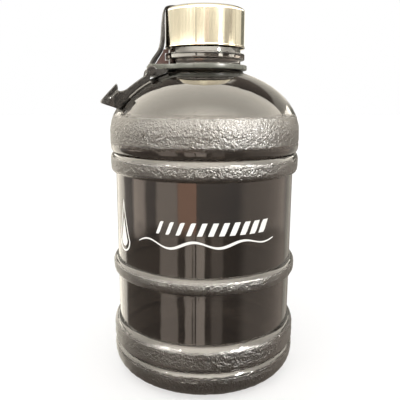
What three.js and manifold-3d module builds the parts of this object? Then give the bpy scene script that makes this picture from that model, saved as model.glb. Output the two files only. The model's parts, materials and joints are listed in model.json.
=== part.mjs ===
// Large water jug: a smoke-grey blow-moulded bottle with a steel-clad screw cap, a collar that
// swivels on the neck, a hinged carry handle and a strap that tethers the cap to the collar.
// Millimetres, +Z up. The origin is the centre of the base. The printed front faces -Y and the
// carry handle points along -X.

import * as THREE from 'three';
import { mergeVertices } from 'three/addons/utils/BufferGeometryUtils.js';
import Module from 'manifold-3d';

const wasm = await Module();
wasm.setup();

// ---- Driving dimensions ----------------------------------------------------------------------

const GAP = 0.3;                  // clearance between pieces that touch
const ROUND_SIDES = 36;           // sides of a large turned piece
const SMALL_SIDES = 20;           // sides of a small turned piece

// Bottle
const WALL = 1.5;
const BASE_WALL = 2.2;
const FOOT_R = 50.5;              // outer edge of the flat underside
const BASE_GROOVE = { r: 36, halfWidth: 5, depth: 2 };
const BASE_CORNER_Z = 15;
const PANEL_R = 61.2;             // smooth cylindrical panels
const BAND_R = 64.9;              // base band and lower band
const RING_R = 64.4;              // middle ring, upper ring and shoulder band
const LOW_GROOVE = { r: 62.6, z: 20.6 };
const HIGH_GROOVE = { r: 61.6, z: 154.6 };
const DOME_Z = 167.5;             // height where the shoulder dome starts
const DOME_RISE = 43;             // vertical half-axis of the dome's ellipse

// Neck
const NECK_BORE_R = 21.3;
const NECK_LEDGE = { r: 25.6, z: 208.3 };
const NECK_R = 24;
const BEAD = { r: 26.6, low: 215.1, high: 219 };
const THREAD_ROOT_R = 23;
const THREAD_ROOT_Z = 222;
const LIP_Z = 243;
const THREAD = { r: 23, bead: 0.9, low: 228, lead: 5, turns: 1.75 };
const THREAD_STEPS = 20;          // steps of a thread ridge in one turn

// Collar and its hinge block
const COLLAR = { inner: 24.4, outer: 28.3, low: 208.6, thick: 3 };
const TAB = { reach: 38.7, halfWidth: 14, flareX: 27.5, rootHalfWidth: 19, cornerR: 2.5 };
const PIVOT = { x: -37.1, z: 207.2 };
const HINGE_BLOCK = { r: 2.9, halfWidth: 14, holeR: 1.9, holeDepth: 4.2, nearX: -26.9 };
const RIB = { halfWidth: 1.2, innerX: -24.5, beadX: -27, beadLow: 214.7, beadHigh: 219.4, high: 221.9 };
const DOME_CLEARANCE = 0.8;       // between the dome and what lies over it

// Carry handle
const HANDLE_EYE_R = 3.2;
const HANDLE_EYE = { inner: 14.6, outer: 19.4 };
const HANDLE_REACH_Y = 26;        // half-width of the block the handle is cut from
const HANDLE_HEIGHTS = { low: 175, high: 220 };
const TRUNNION = { r: 1.6, length: 3.8 };

// Cap
const CAP_R = 26.4;
const CAP_LOW_Z = 222.6;
const CAP_TOP_Z = 247.5;
const CAP_EDGE_R = 2.2;
const SHELL_WALL = 0.5;
const ROLLED_EDGE = { r: 26.7, height: 1.3 };
const CORE = { inner: 24.9, lowZ: 223.4, plateZ: 245 };
const CORE_THREAD = { r: 25, bead: 0.6, low: 228.6, lead: 5, turns: 1.75 };
const GASKET = { inner: 20.4, outer: 24.4, low: 243.3, high: 244.7 };
const STUD = { shankR: 2.6, holeR: 2.95, headR: 7, headHigh: 2.1, tailR: 4.4, tailLow: 243.4 };

// Tether
const STRAP = { halfWidth: 6, topHalfWidth: 4.2, taperLow: 229, taperHigh: 243, steps: 24 };
const EYE = { outer: 10, hole: 3.2, low: CAP_TOP_Z + GAP, thick: 1.4 };

// ---- Materials -------------------------------------------------------------------------------

const plastic = (color, roughness) => new THREE.MeshStandardMaterial({ color, roughness, metalness: 0 });
const steel = (roughness) => new THREE.MeshStandardMaterial({ color: 0xc9c4b6, roughness, metalness: 1 });

// ---- Shape helpers ---------------------------------------------------------------------------

// Closed manifold solid from a geometry.
function solid(geometry) {
  const bare = geometry.clone();
  bare.deleteAttribute('normal');
  bare.deleteAttribute('uv');
  const merged = mergeVertices(bare, 1e-4);
  return new wasm.Manifold(new wasm.Mesh({
    numProp: 3,
    vertProperties: new Float32Array(merged.attributes.position.array),
    triVerts: new Uint32Array(merged.index.array),
  }));
}

// Geometry from a manifold solid.
function geometryOf(manifold) {
  const result = manifold.getMesh();
  const geometry = new THREE.BufferGeometry();
  geometry.setAttribute('position', new THREE.BufferAttribute(result.vertProperties, 3));
  geometry.setIndex(new THREE.BufferAttribute(result.triVerts, 1));
  geometry.computeVertexNormals();
  return geometry;
}

// Solid turned about +Z from an outline of (radius, height) points, listed with the material
// on the left hand side.
function turned(points, sides) {
  const geometry = new THREE.LatheGeometry(points, sides);
  geometry.rotateX(Math.PI / 2);
  return geometry;
}

// Round bar along Y, centred on (x, y, z).
function barAlongY(radius, length, x, y, z) {
  const geometry = new THREE.CylinderGeometry(radius, radius, length, SMALL_SIDES);
  geometry.translate(x, y, z);
  return geometry;
}

// Plate with an outline in the XY plane, from height low upwards.
function plate(shape, low, thick, curveSegments) {
  const geometry = new THREE.ExtrudeGeometry(shape, { depth: thick, bevelEnabled: false, curveSegments });
  geometry.translate(0, 0, low);
  return geometry;
}

// Slab with an outline in the XZ plane, reaching halfWidth to each side of Y = 0.
function slab(shape, halfWidth, curveSegments) {
  const options = { depth: 2 * halfWidth, bevelEnabled: false, curveSegments };
  const geometry = new THREE.ExtrudeGeometry(shape, options);
  geometry.rotateX(Math.PI / 2);
  geometry.translate(0, halfWidth, 0);
  return geometry;
}

// Helical bead about +Z, for a screw thread.
class HelixCurve extends THREE.Curve {
  constructor({ r, low, lead, turns }) {
    super();
    Object.assign(this, { r, low, lead, turns });
  }

  getPoint(t, target = new THREE.Vector3()) {
    const angle = 2 * Math.PI * this.turns * t;
    const height = this.low + this.lead * this.turns * t;
    return target.set(this.r * Math.cos(angle), this.r * Math.sin(angle), height);
  }
}

function threadBead(thread) {
  const section = new THREE.Shape().absarc(0, 0, thread.bead, 0, 2 * Math.PI, false);
  const steps = Math.round(THREAD_STEPS * thread.turns);
  return new THREE.ExtrudeGeometry(section, { extrudePath: new HelixCurve(thread), steps, curveSegments: 3 });
}

const vectors = (pairs) => pairs.map(([a, b]) => new THREE.Vector2(a, b));

// ---- Bottle ----------------------------------------------------------------------------------

// Soft band standing out from the outline, from its lower root to its upper root.
function addBand(path, { low, high, crown, lowRoot, highRoot, lowEdge, highEdge }) {
  const lowBlend = lowRoot + 0.6 * (crown - lowRoot);
  const highBlend = highRoot + 0.6 * (crown - highRoot);
  path.lineTo(lowRoot, low);
  path.bezierCurveTo(lowBlend, low, crown, low + 0.4 * lowEdge, crown, low + lowEdge);
  path.lineTo(crown, high - highEdge);
  path.bezierCurveTo(crown, high - 0.4 * highEdge, highBlend, high, highRoot, high);
}

// Bottle outline from the centre of the base to the foot of the neck, moved inwards by inset.
function bottleOutline(inset, floorZ) {
  const path = new THREE.Path();
  const panel = PANEL_R - inset;
  const band = BAND_R - inset;
  const ring = RING_R - inset;
  const lowGroove = LOW_GROOVE.r - inset;
  const highGroove = HIGH_GROOVE.r - inset;
  const { r: grooveR, halfWidth: grooveHalf, depth: grooveDepth } = BASE_GROOVE;
  path.moveTo(0, floorZ);
  path.lineTo(grooveR - grooveHalf, floorZ);
  path.quadraticCurveTo(grooveR, floorZ + 2 * grooveDepth, grooveR + grooveHalf, floorZ);
  path.lineTo(FOOT_R - inset, floorZ);
  path.bezierCurveTo(FOOT_R - inset + 5, floorZ, band, BASE_CORNER_Z - 11, band, BASE_CORNER_Z);
  path.lineTo(band, LOW_GROOVE.z - 3);
  path.bezierCurveTo(band, LOW_GROOVE.z - 1, lowGroove + 0.6, LOW_GROOVE.z, lowGroove, LOW_GROOVE.z);
  addBand(path, {
    low: LOW_GROOVE.z, high: 38.4, crown: band, lowRoot: lowGroove, highRoot: panel, lowEdge: 4, highEdge: 7,
  });
  addBand(path, {
    low: 71.3, high: 82.4, crown: ring, lowRoot: panel, highRoot: panel, lowEdge: 5, highEdge: 5,
  });
  addBand(path, {
    low: 141, high: HIGH_GROOVE.z, crown: ring, lowRoot: panel, highRoot: highGroove, lowEdge: 5, highEdge: 4,
  });
  path.bezierCurveTo(highGroove + 1.8, HIGH_GROOVE.z, ring, HIGH_GROOVE.z + 2, ring, HIGH_GROOVE.z + 5.5);
  const domeEnd = inset > 0 ? NECK_BORE_R + 1 : NECK_LEDGE.r + 0.6;
  path.absellipse(0, DOME_Z, ring, DOME_RISE - inset, 0, Math.acos(domeEnd / ring), false);
  return path;
}

function bottle() {
  const outside = bottleOutline(0, 0).getPoints(3);
  const neck = vectors([
    [NECK_LEDGE.r, NECK_LEDGE.z],
    [NECK_R, NECK_LEDGE.z],
    [NECK_R, BEAD.low - 0.4],
    [BEAD.r - 0.5, BEAD.low],
    [BEAD.r, BEAD.low + 0.8],
    [BEAD.r, BEAD.high - 0.8],
    [BEAD.r - 0.5, BEAD.high],
    [NECK_R, BEAD.high + 0.4],
    [NECK_R, THREAD_ROOT_Z],
    [THREAD_ROOT_R, THREAD_ROOT_Z + 1],
    [THREAD_ROOT_R, LIP_Z - 0.6],
    [THREAD_ROOT_R - 0.6, LIP_Z],
    [NECK_BORE_R + 0.4, LIP_Z],
    [NECK_BORE_R, LIP_Z - 0.4],
  ]);
  const inside = bottleOutline(WALL, BASE_WALL).getPoints(2);
  inside.push(new THREE.Vector2(NECK_BORE_R, NECK_LEDGE.z));
  const body = solid(turned([...outside, ...neck, ...inside.reverse()], ROUND_SIDES));
  return geometryOf(body.add(solid(threadBead(THREAD))));
}

// Shoulder dome made larger all round, for trimming the pieces that lie over it.
function domeClearance() {
  const reach = RING_R + DOME_CLEARANCE;
  const path = new THREE.Path();
  path.moveTo(0, DOME_Z - 20);
  path.lineTo(reach, DOME_Z - 20);
  path.absellipse(0, DOME_Z, reach, DOME_RISE + DOME_CLEARANCE, 0, Math.PI / 2, false);
  return solid(turned(path.getPoints(12), ROUND_SIDES));
}

// ---- Collar ----------------------------------------------------------------------------------

function collar() {
  const outline = new THREE.Shape();
  const rootAngle = Math.PI - Math.asin(TAB.rootHalfWidth / COLLAR.outer);
  const rootX = COLLAR.outer * Math.cos(rootAngle);
  const squareX = -TAB.reach + 6;
  const cornerX = -TAB.reach + TAB.cornerR;
  const cornerY = TAB.halfWidth - TAB.cornerR;
  outline.absarc(0, 0, COLLAR.outer, -rootAngle, rootAngle, false);
  outline.quadraticCurveTo(-TAB.flareX, TAB.halfWidth, squareX, TAB.halfWidth);
  outline.lineTo(cornerX, TAB.halfWidth);
  outline.absarc(cornerX, cornerY, TAB.cornerR, Math.PI / 2, Math.PI, false);
  outline.absarc(cornerX, -cornerY, TAB.cornerR, Math.PI, 1.5 * Math.PI, false);
  outline.lineTo(squareX, -TAB.halfWidth);
  outline.quadraticCurveTo(-TAB.flareX, -TAB.halfWidth, rootX, -TAB.rootHalfWidth);
  outline.holes.push(new THREE.Path().absarc(0, 0, COLLAR.inner, 0, 2 * Math.PI, true));
  const ring = solid(plate(outline, COLLAR.low, COLLAR.thick, ROUND_SIDES / 3));

  const knuckle = solid(barAlongY(HINGE_BLOCK.r, 2 * HINGE_BLOCK.halfWidth, PIVOT.x, 0, PIVOT.z));
  const webOutline = new THREE.Shape(vectors([
    [HINGE_BLOCK.nearX, COLLAR.low + 1],
    [PIVOT.x - 1.9, COLLAR.low + 1],
    [PIVOT.x - HINGE_BLOCK.r, PIVOT.z],
    [PIVOT.x, PIVOT.z - HINGE_BLOCK.r],
    [HINGE_BLOCK.nearX, PIVOT.z - HINGE_BLOCK.r],
  ]));
  const web = solid(slab(webOutline, HINGE_BLOCK.halfWidth, 1)).subtract(domeClearance());

  // Upright rib between the neck and the root of the strap, notched for the neck's bead.
  const ribOutline = new THREE.Shape(vectors([
    [RIB.innerX, COLLAR.low + 1],
    [RIB.innerX, RIB.beadLow],
    [RIB.beadX, RIB.beadLow],
    [RIB.beadX, RIB.beadHigh],
    [RIB.innerX, RIB.beadHigh],
    [RIB.innerX, RIB.high],
    [-27.9, RIB.high],
    [-28.4, 220.2],
    [-30.7, 216.5],
    [-33, 212.9],
    [-33.7, 211.6],
    [-33.7, COLLAR.low + 1],
  ]));
  const rib = solid(slab(ribOutline, RIB.halfWidth, 1));

  let piece = ring.add(knuckle).add(web).add(rib);
  const drill = HINGE_BLOCK.holeDepth + 1;
  for (const side of [-1, 1]) {
    const y = side * (HINGE_BLOCK.halfWidth + 1 - drill / 2);
    piece = piece.subtract(solid(barAlongY(HINGE_BLOCK.holeR, drill, PIVOT.x, y, PIVOT.z)));
  }
  return geometryOf(piece);
}

// ---- Carry handle ----------------------------------------------------------------------------

// Side view: two arms that reach down to the shoulder, and a grip bar with a sloping outer face.
function handleSide() {
  const side = new THREE.Shape();
  side.absarc(PIVOT.x, PIVOT.z, HANDLE_EYE_R, -0.6 * Math.PI, 0.98 * Math.PI, false);
  side.splineThru(vectors([
    [-41.2, 204.3], [-43.7, 202.5], [-46.3, 200.7], [-50.9, 197.3], [-53.7, 195.2], [-56.9, 194.2],
  ]));
  side.lineTo(-58.5, 194.6);
  side.lineTo(-58.7, 198);
  side.quadraticCurveTo(-58.9, 199.4, -60, 198.4);
  side.lineTo(-69.6, 188.4);
  side.quadraticCurveTo(-70.6, 187, -68.8, 186.5);
  side.lineTo(-61.7, 184.3);
  side.lineTo(-59.4, 183.4);
  side.lineTo(-52, 184);
  side.lineTo(-44, 194);
  side.lineTo(-38.6, 199);
  side.closePath();
  return side;
}

// Plan view: a U that opens towards the neck.
function handlePlan() {
  const outer = vectors([
    [-40, 19.4], [-44, 19.6], [-50, 20], [-56, 20.6], [-62, 20.6], [-67.6, 17.6], [-70.4, 9],
  ]);
  const inner = vectors([
    [-59, 9], [-58.7, 14], [-57.2, 16.3], [-53.5, 16.6], [-48.4, 16.2], [-40, 15],
  ]);
  const mirrored = (points) => points.map((p) => new THREE.Vector2(p.x, -p.y)).reverse();
  const right = PIVOT.x + HANDLE_EYE_R + 1;
  const plan = new THREE.Shape();
  plan.moveTo(right, HANDLE_EYE.outer);
  plan.splineThru([...outer, ...mirrored(outer)]);
  plan.lineTo(right, -HANDLE_EYE.outer);
  plan.lineTo(right, -HANDLE_EYE.inner);
  plan.splineThru([...mirrored(inner), ...inner]);
  plan.lineTo(right, HANDLE_EYE.inner);
  plan.closePath();
  return plan;
}

function handle() {
  const { low, high } = HANDLE_HEIGHTS;
  let piece = solid(slab(handleSide(), HANDLE_REACH_Y, 3));
  piece = piece.intersect(solid(plate(handlePlan(), low, high - low, 2)));
  piece = piece.subtract(domeClearance());
  for (const side of [-1, 1]) {
    const y = side * (HANDLE_EYE.inner - TRUNNION.length / 2 + 0.5);
    piece = piece.add(solid(barAlongY(TRUNNION.r, TRUNNION.length + 1, PIVOT.x, y, PIVOT.z)));
  }
  return geometryOf(piece);
}

// ---- Tether ----------------------------------------------------------------------------------

// Flat strap from the collar's tab, up beside the cap and over its top edge to the eye. It gets
// thinner and narrower on the way.
function strap() {
  const foot = COLLAR.low + COLLAR.thick + GAP;
  const topZ = EYE.low + EYE.thick / 2;
  const stations = [
    { x: -36, z: foot, thick: 3.4 },
    { x: -35, z: 213.8, thick: 3.4 },
    { x: -32.6, z: 217.4, thick: 3.2 },
    { x: -30.3, z: 220.8, thick: 3 },
    { x: -28.9, z: 225.2, thick: 2.7 },
    { x: -28.3, z: 231, thick: 2.2 },
    { x: -28.1, z: 237, thick: 1.8 },
    { x: -27.8, z: 242, thick: 1.3 },
    { x: -27.4, z: 245.3, thick: 1.1 },
    { x: -26.4, z: 247.5, thick: 1.1 },
    { x: -24.2, z: topZ - 0.1, thick: 1.2 },
    { x: -18, z: topZ, thick: EYE.thick },
    { x: -EYE.outer - GAP, z: topZ, thick: EYE.thick },
  ];
  const points = stations.map(({ x, z, thick }) => new THREE.Vector3(x, thick, z));
  const route = new THREE.CatmullRomCurve3(points, false, 'centripetal');
  const left = [];
  const right = [];
  for (let step = 0; step <= STRAP.steps; step += 1) {
    const t = step / STRAP.steps;
    const { x, y: thick, z } = route.getPoint(t);
    const tangent = route.getTangent(t).setY(0).normalize();
    if (step === 0) tangent.set(0, 0, 1);
    if (step === STRAP.steps) tangent.set(1, 0, 0);
    const dx = thick / 2 * tangent.z;
    const dz = thick / 2 * tangent.x;
    left.push(new THREE.Vector2(x - dx, z + dz));
    right.push(new THREE.Vector2(x + dx, z - dz));
  }
  const side = solid(slab(new THREE.Shape([...right, ...left.reverse()]), STRAP.halfWidth, 1));
  const front = new THREE.Shape(vectors([
    [-STRAP.halfWidth, foot],
    [STRAP.halfWidth, foot],
    [STRAP.halfWidth, STRAP.taperLow],
    [STRAP.topHalfWidth, STRAP.taperHigh],
    [STRAP.topHalfWidth, topZ + 5],
    [-STRAP.topHalfWidth, topZ + 5],
    [-STRAP.topHalfWidth, STRAP.taperHigh],
    [-STRAP.halfWidth, STRAP.taperLow],
  ]));
  const block = new THREE.ExtrudeGeometry(front, { depth: 60, bevelEnabled: false });
  block.rotateX(Math.PI / 2);
  block.rotateZ(Math.PI / 2);
  block.translate(-60, 0, 0);
  return geometryOf(side.intersect(solid(block)));
}

function eye() {
  const outline = new THREE.Shape().absarc(0, 0, EYE.outer, 0, 2 * Math.PI, false);
  outline.holes.push(new THREE.Path().absarc(0, 0, EYE.hole, 0, 2 * Math.PI, true));
  return plate(outline, EYE.low, EYE.thick, SMALL_SIDES / 2);
}

// ---- Cap -------------------------------------------------------------------------------------

// Thin steel cup with a rolled lower edge and a hole for the stud.
function capShell() {
  const inner = CAP_R - SHELL_WALL;
  const outline = new THREE.Path();
  outline.moveTo(inner, CAP_LOW_Z);
  outline.lineTo(ROLLED_EDGE.r - 0.3, CAP_LOW_Z);
  outline.lineTo(ROLLED_EDGE.r, CAP_LOW_Z + 0.4);
  outline.lineTo(ROLLED_EDGE.r, CAP_LOW_Z + ROLLED_EDGE.height - 0.4);
  outline.lineTo(CAP_R, CAP_LOW_Z + ROLLED_EDGE.height);
  outline.absarc(CAP_R - CAP_EDGE_R, CAP_TOP_Z - CAP_EDGE_R, CAP_EDGE_R, 0, Math.PI / 2, false);
  outline.lineTo(STUD.holeR, CAP_TOP_Z);
  outline.lineTo(STUD.holeR, CAP_TOP_Z - SHELL_WALL);
  outline.absarc(CAP_R - CAP_EDGE_R, CAP_TOP_Z - CAP_EDGE_R, CAP_EDGE_R - SHELL_WALL, Math.PI / 2, 0, true);
  outline.lineTo(inner, CAP_LOW_Z);
  return turned(outline.getPoints(2), ROUND_SIDES);
}

// Threaded plastic insert that the steel cup is pressed over.
function capCore() {
  const outer = CAP_R - SHELL_WALL - GAP;
  const top = CAP_TOP_Z - SHELL_WALL - GAP;
  const bevel = CAP_EDGE_R - SHELL_WALL;
  const body = turned(vectors([
    [STUD.holeR, CORE.plateZ],
    [CORE.inner - 0.5, CORE.plateZ],
    [CORE.inner, CORE.plateZ - 0.5],
    [CORE.inner, CORE.lowZ + 0.5],
    [CORE.inner + 0.3, CORE.lowZ],
    [outer, CORE.lowZ],
    [outer, top - bevel],
    [outer - bevel * 0.3, top - bevel * 0.3],
    [outer - bevel, top],
    [STUD.holeR, top],
    [STUD.holeR, CORE.plateZ],
  ]), ROUND_SIDES);
  const boundaryR = outer - 0.2;
  const boundary = new THREE.CylinderGeometry(boundaryR, boundaryR, 60, ROUND_SIDES);
  boundary.rotateX(Math.PI / 2);
  boundary.translate(0, 0, CORE.plateZ);
  const ridge = solid(threadBead(CORE_THREAD)).intersect(solid(boundary));
  return geometryOf(solid(body).add(ridge));
}

function gasket() {
  const { inner, outer, low, high } = GASKET;
  const edge = 0.3;
  return turned(vectors([
    [inner, low + edge],
    [inner + edge, low],
    [outer - edge, low],
    [outer, low + edge],
    [outer, high - edge],
    [outer - edge, high],
    [inner + edge, high],
    [inner, high - edge],
    [inner, low + edge],
  ]), ROUND_SIDES);
}

// Stud that holds the eye on the cap: domed head, shank, and a tail under the core's plate.
function stud() {
  const headLow = EYE.low + EYE.thick + GAP;
  const headTop = headLow + STUD.headHigh;
  const tailHigh = CORE.plateZ - GAP;
  const outline = new THREE.Path();
  outline.moveTo(0, STUD.tailLow);
  outline.lineTo(STUD.tailR - 0.5, STUD.tailLow);
  outline.lineTo(STUD.tailR, STUD.tailLow + 0.5);
  outline.lineTo(STUD.tailR, tailHigh);
  outline.lineTo(STUD.shankR, tailHigh);
  outline.lineTo(STUD.shankR, headLow);
  outline.lineTo(STUD.headR, headLow);
  outline.lineTo(STUD.headR, headLow + 0.5);
  outline.bezierCurveTo(STUD.headR - 0.6, headTop - 0.5, 3, headTop, 0, headTop);
  return turned(outline.getPoints(4), SMALL_SIDES);
}

// ---- Assembly --------------------------------------------------------------------------------

const pieces = {
  jug_body: [bottle(), plastic(0x3a3432, 0.12)],
  neck_collar: [collar(), plastic(0x4a4642, 0.35)],
  carry_handle: [handle(), plastic(0x35302d, 0.3)],
  tether_strap: [strap(), plastic(0x1c1a19, 0.35)],
  tether_eye: [eye(), plastic(0x1c1a19, 0.35)],
  cap_stud: [stud(), steel(0.3)],
  cap_shell: [capShell(), steel(0.25)],
  cap_core: [capCore(), plastic(0x17171a, 0.5)],
  cap_gasket: [gasket(), plastic(0xd9d6cf, 0.7)],
};

const jug = new THREE.Group();
for (const [name, [geometry, material]] of Object.entries(pieces)) {
  const mesh = new THREE.Mesh(geometry, material);
  mesh.name = name;
  jug.add(mesh);
}

export default jug;
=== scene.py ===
"""Looks of the large water jug: a smoke-clear bottle with hammered bands, a steel-clad cap on a
strap, a collar that swivels on the neck and a hinged carry handle.

Shapes are worked out in millimetres, in the part's own frame, and stored in metres.
"""

import json
import math

import bpy
import numpy as np
from mathutils import Matrix, Vector, noise

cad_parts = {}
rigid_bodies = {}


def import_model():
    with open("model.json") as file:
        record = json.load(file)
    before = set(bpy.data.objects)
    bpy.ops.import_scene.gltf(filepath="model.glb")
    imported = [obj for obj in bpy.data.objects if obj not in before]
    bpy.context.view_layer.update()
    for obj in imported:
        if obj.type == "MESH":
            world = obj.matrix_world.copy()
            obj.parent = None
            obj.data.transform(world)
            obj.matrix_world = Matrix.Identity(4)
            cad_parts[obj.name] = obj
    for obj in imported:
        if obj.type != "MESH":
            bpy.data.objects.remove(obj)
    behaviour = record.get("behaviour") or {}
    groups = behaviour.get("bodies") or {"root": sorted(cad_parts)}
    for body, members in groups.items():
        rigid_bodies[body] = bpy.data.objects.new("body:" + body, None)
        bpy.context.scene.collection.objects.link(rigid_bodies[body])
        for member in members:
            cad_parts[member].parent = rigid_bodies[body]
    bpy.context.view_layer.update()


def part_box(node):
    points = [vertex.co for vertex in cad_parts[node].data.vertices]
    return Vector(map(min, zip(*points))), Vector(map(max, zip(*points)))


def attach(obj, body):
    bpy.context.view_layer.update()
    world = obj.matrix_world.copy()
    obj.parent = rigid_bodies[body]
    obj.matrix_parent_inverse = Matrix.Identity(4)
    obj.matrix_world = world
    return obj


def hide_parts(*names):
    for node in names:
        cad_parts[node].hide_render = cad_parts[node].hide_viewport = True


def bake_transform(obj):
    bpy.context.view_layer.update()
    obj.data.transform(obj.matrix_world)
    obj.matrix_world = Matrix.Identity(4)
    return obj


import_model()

MM = 0.001


def node_mm(name):
    """Lowest and highest corner of a CAD node, in millimetres."""
    low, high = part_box(name)
    return np.array(low) / MM, np.array(high) / MM


# ---- Driving dimensions, in millimetres -------------------------------------------

BODY_HIGH = node_mm("jug_body")[1]
COLLAR_HIGH = node_mm("neck_collar")[1]
SHELL_LOW, SHELL_HIGH = node_mm("cap_shell")
CORE_LOW, CORE_HIGH = node_mm("cap_core")
GASKET_LOW, GASKET_HIGH = node_mm("cap_gasket")
STUD_LOW, STUD_HIGH = node_mm("cap_stud")
EYE_LOW, EYE_HIGH = node_mm("tether_eye")
STRAP_LOW, STRAP_HIGH = node_mm("tether_strap")

# Bottle: walls, then the radii and heights of its outline from the foot up
WALL = 1.5
BASE_WALL = 2.2
FOOT_R = 50.5
BASE_GROOVE_R, BASE_GROOVE_HALF, BASE_GROOVE_DEPTH = 36, 5, 2
BASE_CORNER_Z = 15
PANEL_R = 61.2
BAND_R = BODY_HIGH[0]
RING_R = BAND_R - 0.5
LOW_GROOVE_R, LOW_GROOVE_Z = 62.6, 20.6
LOW_BAND_HIGH = 38.4
MIDDLE_BAND = (71.3, 82.4)
HIGH_BAND_LOW = 141
HIGH_GROOVE_R, HIGH_GROOVE_Z = 61.6, 154.6
DOME_Z, DOME_RISE = 167.5, 43
BORE_R = 21.3
NECK_R, NECK_FOOT_Z = 24, 208.3
BEAD_R, BEAD_LOW, BEAD_HIGH = 26.6, 215, 219.1
THREAD_ROOT_R, THREAD_ROOT_Z = 23, 224.2
LIP_Z = BODY_HIGH[2]
BOTTLE_COLUMNS = 480
INSIDE_COLUMNS = 120

# Hammered bands of the bottle: lowest and highest z, and how far each end fades
HAMMERED = ((3.0, 16.5, 2.5), (22.5, 34.0, 2.5), (72.5, 79.0, 2.0), (143.5, 150.5, 2.0), (161.5, 178.0, 2.5))

# Relief of the bands: spacing of its rows, depth and sizes of the dents, and the rare deeper pits
HAMMER_STEP = 0.85
DENT_DEPTH, DENT_SIZE, FINE_DENT_SIZE = 0.42, 2.5, 1.7
FINE_DENT_SHIFT = Vector((40, 0, 0))
PIT_DEPTH, PIT_SPACING, PIT_REACH = 0.4, 9.0, 0.13

# Mould seams of the bottle: azimuths from -Y towards +X in degrees, and the line's height and width
SEAMS = (-14, 166)
SEAM_HEIGHT, SEAM_WIDTH = 0.09, 0.55

# Screw threads: how far the ridge stands out, lowest z, lead and turns, and the heights of their rows
NECK_THREAD = {"height": 0.9, "low": 228, "lead": 5, "turns": 1.75}
NECK_THREAD_ROWS = np.arange(226.4, 239.2, 0.5)
CORE_THREAD = {"height": 0.6, "low": 228.6, "lead": 5, "turns": 1.75}
CORE_THREAD_ROWS = np.arange(239, 226.8, -0.5)

# Collar: ring and tab, the block with its knuckle, and the rib beside the strap
COLLAR_INNER_R = 24.4
COLLAR_TOP, COLLAR_THICK = 211.6, 3
COLLAR_LOW = COLLAR_TOP - COLLAR_THICK
TAB_REACH, TAB_HALF, TAB_ROOT = 38.7, 14, 19
KNUCKLE_R, KNUCKLE_HALF, KNUCKLE_HOLE_R, KNUCKLE_HOLE_DEPTH = 2.9, 14, 1.9, 4.2
BLOCK_NEAR_X = -26.9
RIB_HALF, RIB_INNER_X, RIB_OUTER_X, RIB_HIGH = 1.2, -24.5, -33.7, 221.9
RIB_NOTCH_X, RIB_NOTCH_LOW, RIB_NOTCH_HIGH = -27, 214.7, 219.4

# Carry handle: hinge line, eyes, pins and where the outer plate is set in at its ends
PIVOT_X, PIVOT_Z = -37.1, 207.2
HANDLE_EYE_R = 3.2
PIN_R, PIN_INNER, PIN_OUTER = 1.6, 10.9, 15.4
PLATE_HALF = 19.7
DOME_CLEARANCE = 0.8

# Cap: the steel cup, the insert's inside and the underside of its top, the seal and the strap's eye
CAP_R = SHELL_HIGH[0] - 0.3
CAP_WALL, CAP_EDGE_R, CAP_HOLE_R = 0.5, 2.2, 2.95
CORE_INNER_R, CORE_PLATE_Z = 24.9, 245
GASKET_INNER_R = 20.4
TETHER_HOLE_R = 3.2

# How far the photo's view is turned from -Y towards -X, in radians
VIEW_TURN = math.radians(9.1)


# ---- Mesh helpers -----------------------------------------------------------------

def new_object(name, vertices, faces, sharp_degrees=40):
    """Smooth shaded mesh object from vertices in millimetres."""
    mesh = bpy.data.meshes.new(name)
    mesh.from_pydata((np.asarray(vertices, float) * MM).tolist(), [], faces)
    mesh.validate()
    mesh.shade_smooth()
    mesh.set_sharp_from_angle(angle=math.radians(sharp_degrees))
    obj = bpy.data.objects.new(name, mesh)
    bpy.context.scene.collection.objects.link(obj)
    return obj


def circle(sides):
    """Unit vectors evenly round the Z axis, from +X on."""
    angle = 2 * np.pi * np.arange(sides) / sides
    return np.column_stack([np.cos(angle), np.sin(angle)])


def bezier(points, steps):
    """Points of a quadratic or cubic Bezier curve, without the first one."""
    p = np.array(points, float)
    t = np.linspace(0, 1, steps + 1)[1:, None]
    while len(p) > 1:
        p = [(1 - t) * a + t * b for a, b in zip(p[:-1], p[1:])]
    return p[0]


def spline(points, steps):
    """Points of a centripetal Catmull-Rom curve, with that many steps to each stretch."""
    p = np.array(points, float)
    p = np.vstack([2 * p[0] - p[1], p, 2 * p[-1] - p[-2]])
    out = []
    for four in zip(p, p[1:], p[2:], p[3:]):
        gaps = [math.sqrt(np.linalg.norm(b - a)) for a, b in zip(four, four[1:])]
        k0, k1, k2, k3 = np.cumsum([0, *gaps])
        pyramid = ([(k0, k1), (k1, k2), (k2, k3)], [(k0, k2), (k1, k3)], [(k1, k2)])
        for u in np.linspace(k1, k2, steps, endpoint=False):
            level = list(four)
            for spans in pyramid:
                pairs = zip(spans, level, level[1:])
                level = [((end - u) * a + (u - start) * b) / (end - start) for (start, end), a, b in pairs]
            out.append(level[0])
    out.append(p[-2])
    return np.array(out)


def filleted(corners, radius, steps=4, closed=False):
    """Outline through the corners with each one rounded by about radius."""
    p = np.array(corners, float)
    count = len(p)
    out = []
    for i in range(count):
        if not closed and i in (0, count - 1):
            out.append(p[i])
            continue
        before, here, after = p[i - 1], p[i], p[(i + 1) % count]
        cut_a = min(radius, 0.45 * np.linalg.norm(before - here))
        cut_b = min(radius, 0.45 * np.linalg.norm(after - here))
        a = here + (before - here) / np.linalg.norm(before - here) * cut_a
        b = here + (after - here) / np.linalg.norm(after - here) * cut_b
        out.append(a)
        out.extend(bezier([a, here, b], steps))
    return np.array(out)


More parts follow.
